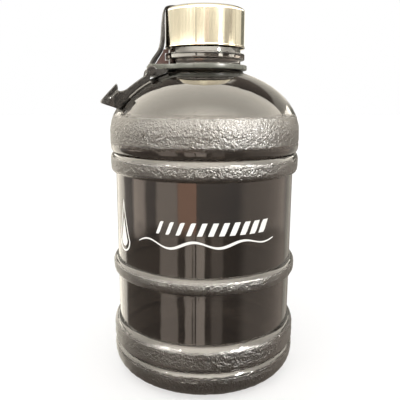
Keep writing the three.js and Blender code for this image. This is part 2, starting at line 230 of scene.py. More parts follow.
def thinned(points, step_at, turn_degrees=6):
    """Rows picked from a finely sampled outline: a new one after step_at(point) or a turn."""
    kept = [points[0]]
    run, turn = 0.0, 0.0
    for before, here, after in zip(points, points[1:], points[2:]):
        a, b = here - before, after - here
        run += np.linalg.norm(a)
        cross = a[0] * b[1] - a[1] * b[0]
        bend = math.degrees(abs(math.atan2(cross, float(a @ b))))
        turn += bend
        if run >= step_at(here) or turn >= turn_degrees or bend > turn_degrees:
            kept.append(here)
            run, turn = 0.0, 0.0
    kept.append(points[-1])
    return np.array(kept)


def ring_faces(low, low_count, high, high_count):
    """Faces between two rings of vertices whose counts divide each other."""
    if low_count == 1:
        return [(low, high + (j + 1) % high_count, high + j) for j in range(high_count)]
    if high_count == 1:
        return [(low + j, low + (j + 1) % low_count, high) for j in range(low_count)]
    if low_count == high_count:
        n = low_count
        return [(low + j, low + (j + 1) % n, high + (j + 1) % n, high + j) for j in range(n)]
    faces = []
    coarse = min(low_count, high_count)
    share = max(low_count, high_count) // coarse
    for j in range(coarse):
        if low_count < high_count:
            fine = [high + (j * share + k) % high_count for k in range(share, -1, -1)]
            faces.append((low + j, low + (j + 1) % coarse, *fine))
        else:
            fine = [low + (j * share + k) % low_count for k in range(share + 1)]
            faces.append((*fine, high + (j + 1) % coarse, high + j))
    return faces


def turned(name, outline, columns, closed=False, relief=None, sharp_degrees=40):
    """Body turned about Z from rows of (radius, height). columns is one count, or one for each row.
    relief(points, row) moves a row's points along the outline's normal."""
    outline = np.asarray(outline, float)
    rows = len(outline)
    counts = np.full(rows, columns) if np.isscalar(columns) else np.array(columns)
    along = np.gradient(outline, axis=0)
    along /= np.maximum(np.linalg.norm(along, axis=1), 1e-9)[:, None]
    normals = np.stack([along[:, 1], -along[:, 0]], 1)
    vertices, starts, total = [], [], 0
    for i, (r, z) in enumerate(outline):
        count = 1 if r < 1e-6 else int(counts[i])
        unit = circle(count)
        points = np.column_stack([r * unit, np.full(count, z)])
        if relief is not None and count > 1:
            shift = np.asarray(relief(points, i))
            points[:, :2] += unit * (shift * normals[i, 0])[:, None]
            points[:, 2] += shift * normals[i, 1]
        vertices.append(points)
        starts.append((total, count))
        total += count
    pairs = list(zip(starts, starts[1:])) + ([(starts[-1], starts[0])] if closed else [])
    faces = [f for (a, n), (b, m) in pairs for f in ring_faces(a, n, b, m)]
    return new_object(name, np.vstack(vertices), faces, sharp_degrees)


def loft(name, sections, closed=False, sharp_degrees=40):
    """Body through rings of points. closed joins the last ring to the first, else the ends are capped."""
    sections = np.asarray(sections, float)
    count, size = sections.shape[:2]
    faces = []
    for i in range(count if closed else count - 1):
        faces += ring_faces(i * size, size, (i + 1) % count * size, size)
    if not closed:
        faces.append(tuple(range(size - 1, -1, -1)))
        faces.append(tuple(range((count - 1) * size, count * size)))
    return new_object(name, sections.reshape(-1, 3), faces, sharp_degrees)


def joined(name, parts):
    """One object from several, which are removed."""
    for obj in bpy.context.scene.objects:
        obj.select_set(obj in parts)
    bpy.context.view_layer.objects.active = parts[0]
    bpy.ops.object.join()
    parts[0].name = parts[0].data.name = name
    return parts[0]


def cut(obj, tool, operation, sharp_degrees=40):
    """Exact join or cut by a second object, which is removed."""
    modifier = obj.modifiers.new("cut", "BOOLEAN")
    modifier.operation, modifier.solver, modifier.object = operation, "EXACT", tool
    bpy.context.view_layer.objects.active = obj
    bpy.ops.object.modifier_apply(modifier=modifier.name)
    bpy.data.objects.remove(tool)
    obj.data.shade_smooth()
    obj.data.set_sharp_from_angle(angle=math.radians(sharp_degrees))
    return obj


def prism_y(name, outline, y_low, y_high):
    """Body with an (x, z) outline, listed anticlockwise seen from -Y, between two heights along Y."""
    outline = np.asarray(outline, float)
    return loft(name, [
        np.column_stack([outline[:, 0], np.full(len(outline), y), outline[:, 1]]) for y in (y_high, y_low)
    ])


def prism_z(name, outline, low, high):
    """Body with an (x, y) outline, listed anticlockwise seen from above, between two heights."""
    outline = np.asarray(outline, float)
    return loft(name, [np.column_stack([outline, np.full(len(outline), z)]) for z in (low, high)])


def softened(obj, voxel_mm, rounds):
    """Even mesh over a body, with its edges rounded by a few rounds of smoothing."""
    remesh = obj.modifiers.new("even", "REMESH")
    remesh.mode, remesh.voxel_size = "VOXEL", voxel_mm * MM
    smooth = obj.modifiers.new("round", "SMOOTH")
    smooth.factor, smooth.iterations = 0.5, rounds
    bpy.context.view_layer.objects.active = obj
    for modifier in (remesh, smooth):
        bpy.ops.object.modifier_apply(modifier=modifier.name)
    obj.data.shade_smooth()
    return obj


def dome_body():
    """The bottle's shoulder dome made larger all round, for trimming the pieces over it."""
    reach, rise = RING_R + DOME_CLEARANCE, DOME_RISE + DOME_CLEARANCE
    t = np.linspace(0, np.pi / 2, 60)
    arc = np.column_stack([reach * np.cos(t), DOME_Z + rise * np.sin(t)])
    arc[-1, 0] = 0
    return turned("dome", np.vstack([[(0, DOME_Z - 20), (reach, DOME_Z - 20)], arc]), 180)


def rod_y(name, radius, y_low, y_high, x, z, sides, edge=0.0):
    """Round bar along Y. A positive edge takes that much off its end edges."""
    across, up = circle(sides)[:, ::-1].T
    stations = [(y_low, radius), (y_high, radius)]
    if edge:
        stations = [(y_low, radius - edge), (y_low + edge, radius)]
        stations += [(y_high - edge, radius), (y_high, radius - edge)]
    rings = []
    for y, r in stations:
        rings.append(np.column_stack([x + r * across, np.full(sides, y), z + r * up]))
    return loft(name, rings)


# ---- Material helpers -------------------------------------------------------------

def new_material(name, **values):
    """Principled material with those socket values. Returns it with its tree and shader."""
    material = bpy.data.materials.new(name)
    material.use_nodes = True
    shader = material.node_tree.nodes["Principled BSDF"]
    for key, value in values.items():
        shader.inputs[key.replace("_", " ")].default_value = value
    return material, material.node_tree, shader


def add(tree, kind, links=(), **settings):
    """Node with some settings and input links: pairs of an input and a value or a socket."""
    node = tree.nodes.new(kind)
    for key, value in settings.items():
        setattr(node, key, value)
    for key, value in links:
        if isinstance(value, bpy.types.NodeSocket):
            tree.links.new(value, node.inputs[key])
        else:
            node.inputs[key].default_value = value
    return node


def calc(tree, operation, a, b):
    """Output of a Math node."""
    return add(tree, "ShaderNodeMath", [(0, a), (1, b)], operation=operation).outputs[0]


def times(tree, a, b):
    """Product of two values."""
    return calc(tree, "MULTIPLY", a, b)


def step_up(tree, value, low, high):
    """Smooth step from 0 at low to 1 at high, which may be the smaller one."""
    links = [("Value", value), ("From Min", low), ("From Max", high)]
    return add(tree, "ShaderNodeMapRange", links, interpolation_type="SMOOTHSTEP").outputs[0]


def between(tree, value, low, high, soft):
    """1 between two limits, with soft edges."""
    above = step_up(tree, value, low - soft, low + soft)
    return times(tree, above, step_up(tree, value, high + soft, high - soft))


def object_coords(tree, stretch=(1, 1, 1)):
    """Object coordinates in millimetres, scaled along each axis."""
    source = add(tree, "ShaderNodeTexCoord").outputs["Object"]
    scale = [s / MM for s in stretch]
    return add(tree, "ShaderNodeMapping", [("Vector", source), ("Scale", scale)]).outputs[0]


def noise_of(tree, vector, scale, detail=2.0, roughness=0.5):
    """Noise with a scale per millimetre."""
    links = [("Vector", vector), ("Scale", scale), ("Detail", detail), ("Roughness", roughness)]
    return add(tree, "ShaderNodeTexNoise", links).outputs["Fac"]


def spread(tree, value, low, high):
    """A noise value, mostly between 0.3 and 0.7, brought into a range."""
    links = [("Value", value), ("From Min", 0.3), ("From Max", 0.7), ("To Min", low), ("To Max", high)]
    return add(tree, "ShaderNodeMapRange", links).outputs[0]


def cloud_of(tree, vector, scale, detail=4.0, roughness=0.6):
    """Slow noise from 0 to 1."""
    return spread(tree, noise_of(tree, vector, scale, detail, roughness), 0, 1)


def split(tree, vector):
    """The X, Y and Z outputs of a vector."""
    return add(tree, "ShaderNodeSeparateXYZ", [(0, vector)]).outputs


def mixed(tree, value, first, second):
    """Colour from first, where value is 0, to second, where it is 1. Each is a socket or a colour."""
    links = [("Factor", value)]
    for key, colour in ((6, first), (7, second)):
        links.append((key, colour if isinstance(colour, bpy.types.NodeSocket) else (*colour, 1)))
    return add(tree, "ShaderNodeMix", links, data_type="RGBA").outputs[2]


def bumped(tree, height, depth_mm):
    """Normal of a bump whose height value of 1 stands for a depth in millimetres."""
    links = [("Height", height), ("Distance", depth_mm * MM), ("Strength", 1.0)]
    return add(tree, "ShaderNodeBump", links).outputs["Normal"]


def linked(tree, shader, colour, rough, normal):
    """Links a shader's colour, roughness and normal."""
    for key, socket in (("Base Color", colour), ("Roughness", rough), ("Normal", normal)):
        tree.links.new(socket, shader.inputs[key])


# ---- Materials --------------------------------------------------------------------

# Colour of the painted shade on steel faces that point up
STEEL_PAINTED_SHADE = (0.16, 0.145, 0.115)


def smoke_bottle_material():
    """Clear smoke-grey copolyester. The hammered bands have a fine grain over their relief."""
    material, tree, shader = new_material("smoke_bottle", IOR=1.57, Transmission_Weight=1.0)
    coords = object_coords(tree)
    cloud = cloud_of(tree, coords, 0.03, 3.0, 0.5)
    colour = mixed(tree, cloud, (0.14, 0.125, 0.115), (0.18, 0.163, 0.15))
    hammer = add(tree, "ShaderNodeAttribute", attribute_name="hammer").outputs["Fac"]
    smears = spread(tree, noise_of(tree, coords, 0.12, 4.0), 0.02, 0.06)
    rough = calc(tree, "ADD", smears, times(tree, hammer, 0.25))
    fine = noise_of(tree, coords, 0.75, 2.0, 0.6)
    waves = times(tree, noise_of(tree, coords, 0.06, 1.0), 0.2)
    height = calc(tree, "ADD", times(tree, fine, hammer), waves)
    linked(tree, shader, colour, rough, bumped(tree, height, 0.85))
    return material


def moulded_material(name, dark, light, rough_low, rough_high, grain_mm, depth_mm, **values):
    """Moulded plastic or rubber: slow changes of tone and gloss, and a fine grain."""
    material, tree, shader = new_material(name, **values)
    coords = object_coords(tree)
    colour = mixed(tree, cloud_of(tree, coords, 0.08), dark, light)
    rough = spread(tree, noise_of(tree, coords, 0.3, 3.0, 0.6), rough_low, rough_high)
    grain = noise_of(tree, coords, 1 / grain_mm, 3.0, 0.6)
    linked(tree, shader, colour, rough, bumped(tree, grain, depth_mm))
    return material


def collar_material():
    """Smoke plastic of the collar: a grey-green edge, painted shade that darkens the block under it and a
    reddish painted reflection on the rib over it.
    """
    material, tree, shader = new_material("smoke_collar", IOR=1.5, Specular_IOR_Level=0.25)
    coords = object_coords(tree)
    level = split(tree, coords)[2]
    cloud = cloud_of(tree, coords, 0.08)
    edge = mixed(tree, cloud, (0.1, 0.105, 0.088), (0.16, 0.165, 0.14))
    # Painted shade: a near-black copy of the plastic for the block under the ring.
    block = mixed(tree, cloud, (0.01, 0.009, 0.008), (0.025, 0.022, 0.02))
    # Painted reflection: a reddish copy of the plastic for the rib, for the warm light it mirrors.
    rib = mixed(tree, cloud, (0.13, 0.07, 0.062), (0.19, 0.11, 0.1))
    tone = mixed(tree, step_up(tree, level, COLLAR_LOW + 0.1, COLLAR_LOW - 0.5), edge, block)
    tone = mixed(tree, step_up(tree, level, COLLAR_TOP + 0.1, COLLAR_TOP + 0.4), tone, rib)
    rough = spread(tree, noise_of(tree, coords, 0.3, 3.0, 0.6), 0.22, 0.36)
    grain = noise_of(tree, coords, 1.25, 3.0, 0.6)
    linked(tree, shader, tone, rough, bumped(tree, grain, 0.03))
    return material


def handle_material():
    """Dark smoke plastic of the handle, darkest along its grip bar."""
    material, tree, shader = new_material(
        "smoke_handle", IOR=1.5, Transmission_Weight=0.2, Specular_IOR_Level=0.3,
    )
    coords = object_coords(tree)
    along = split(tree, coords)[0]
    cloud = cloud_of(tree, coords, 0.1)
    arms = mixed(tree, cloud, (0.018, 0.015, 0.013), (0.032, 0.027, 0.023))
    grip = mixed(tree, cloud, (0.008, 0.007, 0.006), (0.018, 0.016, 0.014))
    tone = mixed(tree, step_up(tree, along, -57, -61), arms, grip)
    rough = spread(tree, noise_of(tree, coords, 0.4, 3.0), 0.12, 0.26)
    grain = noise_of(tree, coords, 0.9, 3.0, 0.6)
    linked(tree, shader, tone, rough, bumped(tree, grain, 0.03))
    return material


def steel_material(name, dark, light, rough_low, rough_high, stretch, depth_mm):
    """Steel with a fine brush along one direction, and painted shade: a darker colour where it faces up."""
    material, tree, shader = new_material(name, Metallic=1.0)
    brush = object_coords(tree, stretch)
    tone = mixed(tree, cloud_of(tree, brush, 0.16, 3.0), dark, light)
    upward = split(tree, add(tree, "ShaderNodeNewGeometry").outputs["Normal"])[2]
    # Painted shade: faces that point up get the darker steel colour.
    shaded = mixed(tree, step_up(tree, upward, 0.02, 0.3), tone, STEEL_PAINTED_SHADE)
    hairs = noise_of(tree, brush, 2.2, 4.0, 0.7)
    rough = spread(tree, hairs, rough_low, rough_high)
    linked(tree, shader, shaded, rough, bumped(tree, hairs, depth_mm))
    return material


# ---- Bottle -----------------------------------------------------------------------

def band(path, low, high, crown, low_root, high_root, low_edge, high_edge):
    """Soft band standing out from the outline, as fine points added to path."""
    low_blend = low_root + 0.6 * (crown - low_root)
    high_blend = high_root + 0.6 * (crown - high_root)
    path.extend(bezier([path[-1], (low_root, low)], 200))
    foot = [(low_root, low), (low_blend, low), (crown, low + 0.4 * low_edge), (crown, low + low_edge)]
    path.extend(bezier(foot, 60))
    path.extend(bezier([path[-1], (crown, high - high_edge)], 60))
    head = [(crown, high - high_edge), (crown, high - 0.4 * high_edge), (high_blend, high), (high_root, high)]
    path.extend(bezier(head, 60))


def bottle_outline(inset, floor_z):
    """Fine outline from the centre of the base to the foot of the neck, moved inwards by inset."""
    panel, crown, ring = PANEL_R - inset, BAND_R - inset, RING_R - inset
    low_groove, high_groove = LOW_GROOVE_R - inset, HIGH_GROOVE_R - inset
    foot = FOOT_R - inset
    groove_in, groove_out = BASE_GROOVE_R - BASE_GROOVE_HALF, BASE_GROOVE_R + BASE_GROOVE_HALF
    path = [np.array([0.0, floor_z])]
    path.extend(bezier([path[-1], (groove_in, floor_z)], 60))
    arch = [(groove_in, floor_z), (BASE_GROOVE_R, floor_z + 2 * BASE_GROOVE_DEPTH), (groove_out, floor_z)]
    path.extend(bezier(arch, 60))
    path.extend(bezier([path[-1], (foot, floor_z)], 30))
    corner = [(foot, floor_z), (foot + 5, floor_z), (crown, BASE_CORNER_Z - 11), (crown, BASE_CORNER_Z)]
    path.extend(bezier(corner, 120))
    path.extend(bezier([path[-1], (crown, LOW_GROOVE_Z - 3)], 20))
    dip = [(crown, LOW_GROOVE_Z - 3), (crown, LOW_GROOVE_Z - 1), (low_groove + 0.6, LOW_GROOVE_Z)]
    path.extend(bezier([*dip, (low_groove, LOW_GROOVE_Z)], 40))
    band(path, LOW_GROOVE_Z, LOW_BAND_HIGH, crown, low_groove, panel, 4, 7)
    band(path, *MIDDLE_BAND, ring, panel, panel, 5, 5)
    band(path, HIGH_BAND_LOW, HIGH_GROOVE_Z, ring, panel, high_groove, 5, 4)
    rise = [(high_groove, HIGH_GROOVE_Z), (high_groove + 1.8, HIGH_GROOVE_Z), (ring, HIGH_GROOVE_Z + 2)]
    path.extend(bezier([*rise, (ring, HIGH_GROOVE_Z + 5.5)], 60))
    path.extend(bezier([path[-1], (ring, DOME_Z)], 60))
    dome_end = BORE_R + 1 if inset else NECK_R + 2.2
    for t in np.linspace(0, math.acos(dome_end / ring), 241)[1:]:
        path.append(np.array([ring * math.cos(t), DOME_Z + (DOME_RISE - inset) * math.sin(t)]))
    return np.array(path)


def hammer_weight(z):
    """How strongly the bottle is hammered at a height, from 0 to 1."""
    return max(np.interp(z, [a - fade, a, b, b + fade], [0, 1, 1, 0]) for a, b, fade in HAMMERED)


def thread_height(points, thread):
    """Height of a round screw ridge over its root, with its two ends tapered."""
    turn = np.arctan2(points[:, 1], points[:, 0]) / (2 * np.pi) % 1
    height = np.zeros(len(points))
    for lap in range(math.ceil(thread["turns"])):
        along = turn + lap
        away = points[:, 2] - thread["low"] - thread["lead"] * along
        taper = np.clip(np.minimum(along, thread["turns"] - along) * 8, 0, 1)
        ridge = np.cos(np.clip(away / (1.25 * thread["height"]), -1, 1) * np.pi / 2) ** 1.3
        height = np.maximum(height, thread["height"] * ridge * taper)
    return height


def hammer_relief(points):
    """Uneven little dents, and a few deeper pits."""
    out = []
    for p in points:
        place = Vector(p)
        coarse = noise.noise(place / DENT_SIZE)
        fine = noise.noise(place / FINE_DENT_SIZE + FINE_DENT_SHIFT)
        pit = max(0.0, 1 - noise.voronoi(place / PIT_SPACING)[0][0] / PIT_REACH)
        out.append(DENT_DEPTH * (0.65 * coarse + 0.35 * fine) - PIT_DEPTH * pit * pit * (3 - 2 * pit))
    return np.array(out)


def seam_relief(points, r):
    """Fine raised lines where the two halves of the mould meet, at radius r."""
    azimuth = np.degrees(np.arctan2(points[:, 0], -points[:, 1]))
    away = [(azimuth - seam) * math.radians(1) * r for seam in SEAMS]
    return SEAM_HEIGHT * sum(np.exp(-(side / SEAM_WIDTH) ** 2) for side in away)


def neck_outline(start):
    """Outline of the neck from the dome's last point, over its bead and thread, to the lip's inside."""
    return filleted([
        start, (NECK_R + 1.6, NECK_FOOT_Z), (NECK_R, NECK_FOOT_Z), (NECK_R, BEAD_LOW),
        (BEAD_R - 0.2, BEAD_LOW + 0.1), (BEAD_R, BEAD_LOW + 0.4), (BEAD_R, BEAD_HIGH - 0.4),
        (BEAD_R - 0.2, BEAD_HIGH - 0.1), (NECK_R, BEAD_HIGH), (NECK_R, THREAD_ROOT_Z - 1),
        (THREAD_ROOT_R, THREAD_ROOT_Z), *((THREAD_ROOT_R, z) for z in NECK_THREAD_ROWS),
        (THREAD_ROOT_R, LIP_Z - 0.6), (THREAD_ROOT_R - 0.6, LIP_Z), (BORE_R + 0.5, LIP_Z),
        (BORE_R, LIP_Z - 0.5),
    ], 0.4, 3)[1:]


def make_bottle():
    """Bottle as one wall. Its vertices carry a hammer value from 0 to 1 for the material."""
    outside = bottle_outline(0, 0)
    outside = thinned(outside, lambda p: HAMMER_STEP if hammer_weight(p[1]) > 0 and p[0] > FOOT_R else 8)
    neck = neck_outline(outside[-1])
    inside = thinned(bottle_outline(WALL, BASE_WALL), lambda p: 8, 7)
    inside = np.vstack([inside, [(BORE_R, NECK_FOOT_Z)]])[::-1]
    outline = np.vstack([outside, neck, inside])
    base_rows = int(np.sum(outside[:, 0] < FOOT_R - 0.1))
    fine_rows = len(outside) + len(neck) - 2
    columns = np.full(len(outline), INSIDE_COLUMNS)
    columns[base_rows:fine_rows] = BOTTLE_COLUMNS
    weights = np.array([hammer_weight(z) for r, z in outline])
    weights[:base_rows] = weights[fine_rows:] = 0

    def relief(points, row):
        r, z = outline[row]
        shift = np.zeros(len(points))
        if weights[row] > 0:
            shift += weights[row] * hammer_relief(points)
        if base_rows <= row < len(outside):
            shift += seam_relief(points, r)
        if len(outside) <= row < fine_rows and z > THREAD_ROOT_Z:
            shift += thread_height(points, NECK_THREAD)
        return shift

    bottle = turned("bottle", outline, columns, relief=relief, sharp_degrees=60)
    attribute = bottle.data.attributes.new("hammer", "FLOAT", "POINT")
    counts = [1 if r < 1e-6 else n for (r, z), n in zip(outline, columns)]
    attribute.data.foreach_set("value", np.repeat(weights, counts).astype(np.float32))
    bottle.data.materials.append(smoke_bottle_material())
    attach(bottle, "jug")
    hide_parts("jug_body")


# ---- Print on the front -----------------------------------------------------------

PRINT_R = PANEL_R + 0.02
PRINT_THICK = 0.06

# Marks: places and widths as arc lengths from the front's middle, and heights
BAR_COUNT, BAR_START, BAR_STEP = 11, -31, 6.6
BAR_LOW, BAR_HIGH, BAR_SLANT = 109, 117, 3.2
BAR_WIDTH, BAR_GROWTH = 2.2, 0.22
WAVE_START, WAVE_END, WAVE_Z, WAVE_LAPS = -45, 48, 102.2, 3
DROP_CENTRE, DROP_HALF, DROP_TIP, DROP_BELLY = -63, 8, 126, 99
DROP_RIM, DROP_CORE = 1.1, 0.55


def ribbon(along, lows, highs):
    """Thin patch of ink on the front panel: arc lengths from the front, with its edges' heights."""
    sections = []
    for s, low, high in zip(along, lows, highs):
        angle = s / PANEL_R - VIEW_TURN
        unit = np.array([math.sin(angle), -math.cos(angle)])
        outer, inner = unit * (PRINT_R + PRINT_THICK), unit * PRINT_R
        sections.append([(*inner, low), (*outer, low), (*outer, high), (*inner, high)])
    return loft("ink", sections)


def slanted_bars():
    """Row of bars that lean over, each a little wider than the one before."""
    bars = []
    for i in range(BAR_COUNT):
        start = BAR_START + BAR_STEP * i
        width = BAR_WIDTH + BAR_GROWTH * i
        s = np.linspace(start, start + width + BAR_SLANT, 7)
        lows = np.interp(s, [start + width, start + width + BAR_SLANT], [BAR_LOW, BAR_HIGH - 0.05])
        highs = np.interp(s, [start, start + BAR_SLANT], [BAR_LOW + 0.05, BAR_HIGH])
        bars.append(ribbon(s, np.minimum(lows, highs - 0.04), highs))
    return bars


def wave_line():
    """Waving line under the bars, thin at both ends."""
    s = np.linspace(WAVE_START, WAVE_END, 130)
    t = (s - s[0]) / (s[-1] - s[0])
    phase = t * 2 * np.pi * WAVE_LAPS
    middle = WAVE_Z + 2.6 * np.sin(phase) * (1 - 0.5 * t) + 2 * t
    half = 0.25 + 0.75 * np.sin(np.pi * t) ** 0.6 * (0.7 + 0.3 * np.cos(phase))
    return ribbon(s, middle - half, middle + half)


def drop_edges(u, half, rise):
    """Lowest and highest z of a drop at a share u of its half-width."""
    low = DROP_BELLY - half * np.sqrt(np.clip(1 - u * u, 0, 1))
    return low, DROP_BELLY + rise * (1 - np.abs(u)) ** 1.25


def drop_shape():
    """Drop outline with a smaller solid drop in it."""
    rise = DROP_TIP - DROP_BELLY
    parts = []
    for scale, hollow in ((1.0, True), (DROP_CORE, False)):
        half = DROP_HALF * scale
        s = DROP_CENTRE + half * np.sin(np.linspace(-np.pi / 2, np.pi / 2, 41))
        # Known flaw: at the small drop's left tip u rounds to just past -1, where the top isn't a number
        # and its two points land at z = 0, as a sliver 0.06 mm thick
        u = (s - DROP_CENTRE) / half
        low, high = drop_edges(u, half, rise * scale)
        if not hollow:
            parts.append(ribbon(s, low - 0.02, high + 0.02))
            continue
        inner_u = np.clip(np.abs(u) / 0.85, 0, 1)
        inner_low, inner_high = drop_edges(inner_u, DROP_HALF - DROP_RIM, rise - 3.5)
        parts.append(ribbon(s, low - 0.02, np.maximum(inner_low, low + 0.02)))
        parts.append(ribbon(s, np.minimum(inner_high, high - 0.02), high + 0.02))
    return parts


def make_print():
    """Generic marks: a row of slanted bars over a wave, and a drop to their left."""
    marks = joined("print_marks", [*slanted_bars(), wave_line(), *drop_shape()])
    white = moulded_material("white_ink", (0.78, 0.77, 0.73), (0.9, 0.89, 0.86), 0.35, 0.5, 0.4, 0.02)
    marks.data.materials.append(white)
    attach(marks, "jug")


# ---- Collar -----------------------------------------------------------------------

def collar_plate():
    """Flat ring round the neck with a tab towards -X, all edges rounded."""
    outer_r = COLLAR_HIGH[0]
    root_angle = math.pi - math.asin(TAB_ROOT / outer_r)
    arc = np.linspace(0, root_angle, 110)
    side = np.column_stack([outer_r * np.cos(arc), outer_r * np.sin(arc)])
    flare = bezier([side[-1], (-27.5, TAB_HALF), (-TAB_REACH + 6, TAB_HALF)], 14)
    corner = filleted([flare[-1], (-TAB_REACH, TAB_HALF), (-TAB_REACH, 0)], 2.5, 10)[1:]
    side = np.vstack([side, flare, corner])
    outer = np.vstack([side, (side * (1, -1))[-2:0:-1]])
    angle = np.arctan2(outer[:, 1], outer[:, 0])
    inner = COLLAR_INNER_R * np.column_stack([np.cos(angle), np.sin(angle)])
    sections = []
    for a, b in zip(inner, outer):
        width = np.linalg.norm(b - a)
        square = [(0, COLLAR_LOW), (width, COLLAR_LOW), (width, COLLAR_TOP), (0, COLLAR_TOP)]
        ring = filleted(square, 0.55, 4, closed=True)
        flat = a + (b - a) * (ring[:, :1] / width)
        sections.append(np.column_stack([flat, ring[:, 1]]))
    return loft("collar", sections[::-1], closed=True)


def collar_block():
    """Block under the tab that carries the knuckle, clear of the bottle's dome."""
    angle = np.linspace(math.pi, 1.5 * math.pi, 20)
    under = np.column_stack([PIVOT_X + KNUCKLE_R * np.cos(angle), PIVOT_Z + KNUCKLE_R * np.sin(angle)])
    high = COLLAR_LOW + 1
    over = [(BLOCK_NEAR_X, PIVOT_Z - KNUCKLE_R), (BLOCK_NEAR_X, high), (PIVOT_X - 1.9, high)]
    block = prism_y("block", np.vstack([under, over]), -KNUCKLE_HALF, KNUCKLE_HALF)
    return cut(block, dome_body(), "DIFFERENCE")


def collar_rib():
    """Thin upright rib on the tab, notched round the neck's bead."""
    side = [
        (RIB_OUTER_X, COLLAR_LOW + 1), (RIB_INNER_X, COLLAR_LOW + 1), (RIB_INNER_X, RIB_NOTCH_LOW),
        (RIB_NOTCH_X, RIB_NOTCH_LOW), (RIB_NOTCH_X, RIB_NOTCH_HIGH), (RIB_INNER_X, RIB_NOTCH_HIGH),
        (RIB_INNER_X, RIB_HIGH), (-27.9, RIB_HIGH), (-28.4, 220.2), (-30.7, 216.5), (-33, 212.9),
        (RIB_OUTER_X, COLLAR_TOP),
    ]
    return prism_y("rib", side, -RIB_HALF, RIB_HALF)


def make_collar():
    """Ring with a tab, a rib over it and under it a block with a blind hole in each end."""
    collar = collar_plate()
    block = collar_block()
    knuckle = rod_y("knuckle", KNUCKLE_R, -KNUCKLE_HALF, KNUCKLE_HALF, PIVOT_X, PIVOT_Z, 48, 0.4)
    for part in (block, knuckle, collar_rib()):
        cut(collar, part, "UNION")
    for end in (-1, 1):
        ends = sorted((end * (KNUCKLE_HALF - KNUCKLE_HOLE_DEPTH), end * (KNUCKLE_HALF + 1)))
        cut(collar, rod_y("hole", KNUCKLE_HOLE_R, *ends, PIVOT_X, PIVOT_Z, 32), "DIFFERENCE")
    collar.data.materials.append(collar_material())
    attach(collar, "collar")
    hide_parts("neck_collar")


# ---- Carry handle -----------------------------------------------------------------

def handle_side():
    """Outline of the handle seen from the side, as (x, z), anticlockwise seen from -Y."""
    angle = np.linspace(-0.6 * math.pi, 0.98 * math.pi, 40)
    eye = np.column_stack([PIVOT_X + HANDLE_EYE_R * np.cos(angle), PIVOT_Z + HANDLE_EYE_R * np.sin(angle)])
    arm = spline([eye[-1], (-41.2, 204.3), (-43.7, 202.5), (-46.3, 200.7), (-50.9, 197.3), (-53.7, 195.2),
                  (-56.9, 194.2)], 6)[1:]
    lip = bezier([(-58.7, 198), (-58.9, 199.4), (-60, 198.4)], 6)
    nose = bezier([(-69.6, 188.4), (-70.6, 187), (-68.8, 186.5)], 6)
    under = [(-61.7, 184.3), (-59.4, 183.4), (-52, 184), (-44, 194), (-38.6, 199)]
    return np.vstack([eye, arm, [(-58.5, 194.6), (-58.7, 198)], lip, [(-69.6, 188.4)], nose, under])


def handle_plan():
    """Outline of the handle seen from above, as (x, y): a U that opens towards the neck."""
    right = PIVOT_X + HANDLE_EYE_R + 1
    outer = np.array([(right, 19.4), (-40, 19.4), (-44, 19.6), (-50, 20), (-56, 20.6), (-62, 20.6),
                      (-67.6, 17.6), (-70.4, 9)])
    inner = np.array([(-59, 9), (-58.7, 14), (-57.2, 16.3), (-53.5, 16.6), (-48.4, 16.2), (-40, 15),
                      (right, 14.6)])
    flip = (1, -1)
    around = spline(np.vstack([outer, (outer * flip)[::-1]]), 6)
    back = spline(np.vstack([(inner * flip)[::-1], inner]), 6)
    return np.vstack([around, back])


def make_handle():
    """U of two arms and a grip bar, whose sloping outer plate is set in a little at its ends."""
    handle = prism_y("handle", handle_side(), -26, 26)
    cut(handle, prism_z("plan", handle_plan(), 175, 220), "INTERSECT")
    cut(handle, dome_body(), "DIFFERENCE")
    plate = [(-58, 200), (-71.5, 200), (-71.5, 187.2), (-65, 189.3), (-61.8, 191.1), (-59.6, 193.6),
             (-58, 194.4)]
    for y_low, y_high in ((-22, -PLATE_HALF), (PLATE_HALF, 22)):
        cut(handle, prism_y("step", plate, y_low, y_high), "DIFFERENCE")
    for end in (-1, 1):
        ends = sorted((end * PIN_INNER, end * PIN_OUTER))
        cut(handle, rod_y("pin", PIN_R, *ends, PIVOT_X, PIVOT_Z, 32, 0.2), "UNION")
    softened(handle, 0.3, 5)
    handle.data.materials.append(handle_material())
    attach(handle, "handle")
    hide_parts("carry_handle")


# ---- Tether -----------------------------------------------------------------------

def tether_line(foot, top, eye_r, eye_thick):
    """Points (x, z) from the strap's foot to the eye's far side, and the thickness at each."""
    stations = [
        (-36, foot, 3.4), (-35, 213.8, 3.4), (-32.6, 217.4, 3.2), (-30.3, 220.8, 3.0),
        (-28.9, 225.2, 2.7), (-28.3, 231, 2.2), (-28.1, 237, 1.8), (-27.8, 242, 1.3), (-27.4, 245.3, 1.1),
        (-26.4, 247.5, 1.1), (-24.2, top - 0.1, 1.2), (-18, top, eye_thick), (-eye_r - 0.3, top, eye_thick),
    ]
    path = spline(stations, 6)
    over = eye_r * np.sin(np.linspace(-math.pi / 2, math.pi / 2, 40))[1:]
    line = np.vstack([path[:, :2], np.column_stack([over, np.full(len(over), top)])])
    return line, np.append(path[:, 2], np.full(len(over), eye_thick))


